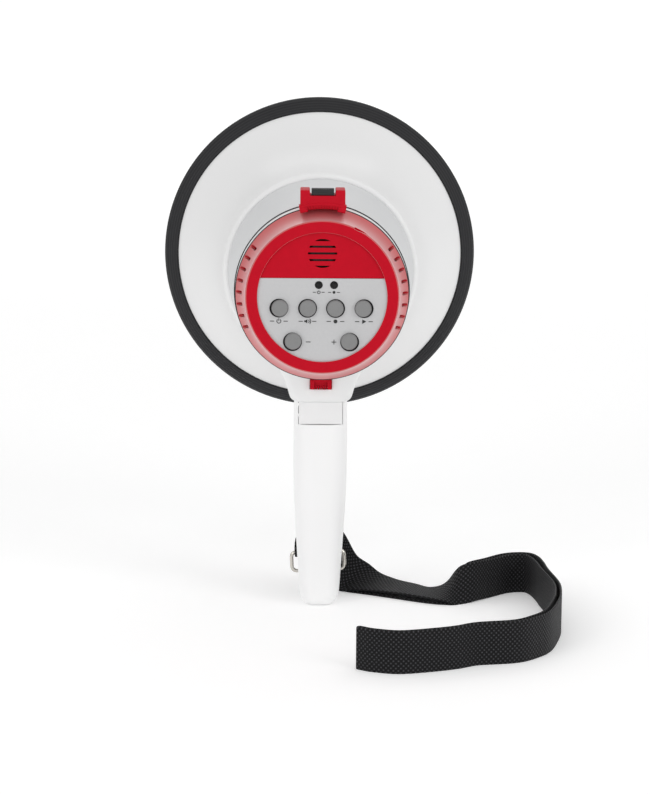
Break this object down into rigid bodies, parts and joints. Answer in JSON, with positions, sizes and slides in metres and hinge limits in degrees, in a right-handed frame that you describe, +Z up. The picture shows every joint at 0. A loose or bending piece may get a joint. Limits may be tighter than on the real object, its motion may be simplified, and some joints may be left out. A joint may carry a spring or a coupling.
{
  "type": "handheld megaphone",
  "caption": "Handheld megaphone with a white horn, red rear control cap, folding pistol handle, trigger and carrying strap on a ring.",
  "frame": {"origin": "centre of the handle's flat foot, on the surface it stands on", "axes": "+Z up, +Y out of the horn's mouth, +X to the right seen from behind"},
  "size_m": [0.2467, 0.3317, 0.305],
  "materials": {
    "white_abs": "moulded, satin",
    "white_handle": "moulded, satin",
    "red_abs": "moulded, glossy",
    "silver_panel": "painted silver grey, satin",
    "grey_button": "moulded, satin",
    "black_plastic": "moulded, matte",
    "rim_rubber": "moulded, matte",
    "seal_rubber": "matte",
    "steel": "drawn",
    "chrome_wire": "plated",
    "ferrite": "sintered",
    "board": "solder mask",
    "cell": "printed sleeve",
    "contact": "plated",
    "diaphragm": "pressed film",
    "light": "smoked lens",
    "webbing": "woven"
  },
  "bodies": {
    "handle": {"handle_screws": "steel", "handle_rear_shell": "white_handle", "handle_front_shell": "white_handle", "fold_pin": "steel", "trigger_pin": "steel", "trigger_switch": "black_plastic", "trigger_spring": "steel", "strap_back_run": "webbing", "strap_front_run": "webbing"},
    "head": {"bell": "white_abs", "rim_bumper": "rim_rubber", "mid_body": "white_abs", "body_seal": "seal_rubber", "collar_ring": "white_abs", "horn_bulkhead": "white_abs", "throat_tube": "black_plastic", "reflector_bowl": "white_abs", "driver_back_plate": "steel", "driver_magnet": "ferrite", "driver_front_plate": "steel", "driver_housing": "black_plastic", "driver_diaphragm": "diaphragm", "voice_coil": "contact", "driver_screws": "steel", "battery_holder": "black_plastic", "battery_1": "cell", "battery_2": "cell", "battery_3": "cell", "battery_4": "cell", "battery_contacts": "contact", "battery_springs": "steel", "cap_seal": "seal_rubber", "neck": "white_abs", "neck_screws": "steel", "fold_lock_spring": "steel"},
    "rear_cap": {"rear_cap": "red_abs", "control_panel": "silver_panel", "microphone_cover": "red_abs", "circuit_board": "board", "board_screws": "steel", "tact_switches": "black_plastic", "status_lights": "light", "board_components": "black_plastic", "microphone": "steel", "microphone_boot": "seal_rubber", "latch_housing": "red_abs", "latch_spring": "steel"},
    "latch_slider": {"latch_slider": "black_plastic"},
    "fold_lock": {"fold_lock": "red_abs"},
    "trigger": {"trigger": "red_abs"},
    "strap_ring": {"strap_ring": "chrome_wire", "strap_wrap": "webbing"},
    "power_button": {"power_button": "grey_button"},
    "siren_button": {"siren_button": "grey_button"},
    "record_button": {"record_button": "grey_button"},
    "play_button": {"play_button": "grey_button"},
    "volume_down_button": {"volume_down_button": "grey_button"},
    "volume_up_button": {"volume_up_button": "grey_button"}
  },
  "joints": [
    {"name": "head_fold", "type": "hinge", "parent": "handle", "child": "head", "pos_m": [0, 0, 0.122], "axis": [-1, 0, 0], "range_deg": [0, 65]},
    {"name": "cap_pull", "type": "slide", "parent": "head", "child": "rear_cap", "axis": [0, -1, 0], "range_m": [0, 0.06]},
    {"name": "latch_push", "type": "slide", "parent": "rear_cap", "child": "latch_slider", "axis": [0, 1, 0], "range_m": [0, 0.0025], "stiffness_N_per_m": 300, "springref_m": -0.003, "deforming": ["latch_spring"]},
    {"name": "fold_lock_lift", "type": "slide", "parent": "head", "child": "fold_lock", "axis": [0, 0, 1], "range_m": [0, 0.0025], "stiffness_N_per_m": 300, "springref_m": -0.003, "deforming": ["fold_lock_spring"]},
    {"name": "trigger_squeeze", "type": "hinge", "parent": "handle", "child": "trigger", "pos_m": [0, 0.0125, 0.09], "axis": [-1, 0, 0], "range_deg": [0, 8], "stiffness_Nm_per_rad": 0.4, "springref_deg": -8.59, "deforming": ["trigger_spring"]},
    {"name": "ring_swing", "type": "hinge", "parent": "handle", "child": "strap_ring", "pos_m": [0, 0.0205, 0.0157], "axis": [1, 0, 0], "range_deg": [-15, 4]},
    {"name": "power_press", "type": "slide", "parent": "rear_cap", "child": "power_button", "axis": [0, 1, 0], "range_m": [0, 0.001], "stiffness_N_per_m": 600, "springref_m": -0.001},
    {"name": "siren_press", "type": "slide", "parent": "rear_cap", "child": "siren_button", "axis": [0, 1, 0], "range_m": [0, 0.001], "stiffness_N_per_m": 600, "springref_m": -0.001},
    {"name": "record_press", "type": "slide", "parent": "rear_cap", "child": "record_button", "axis": [0, 1, 0], "range_m": [0, 0.001], "stiffness_N_per_m": 600, "springref_m": -0.001},
    {"name": "play_press", "type": "slide", "parent": "rear_cap", "child": "play_button", "axis": [0, 1, 0], "range_m": [0, 0.001], "stiffness_N_per_m": 600, "springref_m": -0.001},
    {"name": "volume_down_press", "type": "slide", "parent": "rear_cap", "child": "volume_down_button", "axis": [0, 1, 0], "range_m": [0, 0.001], "stiffness_N_per_m": 600, "springref_m": -0.001},
    {"name": "volume_up_press", "type": "slide", "parent": "rear_cap", "child": "volume_up_button", "axis": [0, 1, 0], "range_m": [0, 0.001], "stiffness_N_per_m": 600, "springref_m": -0.001}
  ]
}
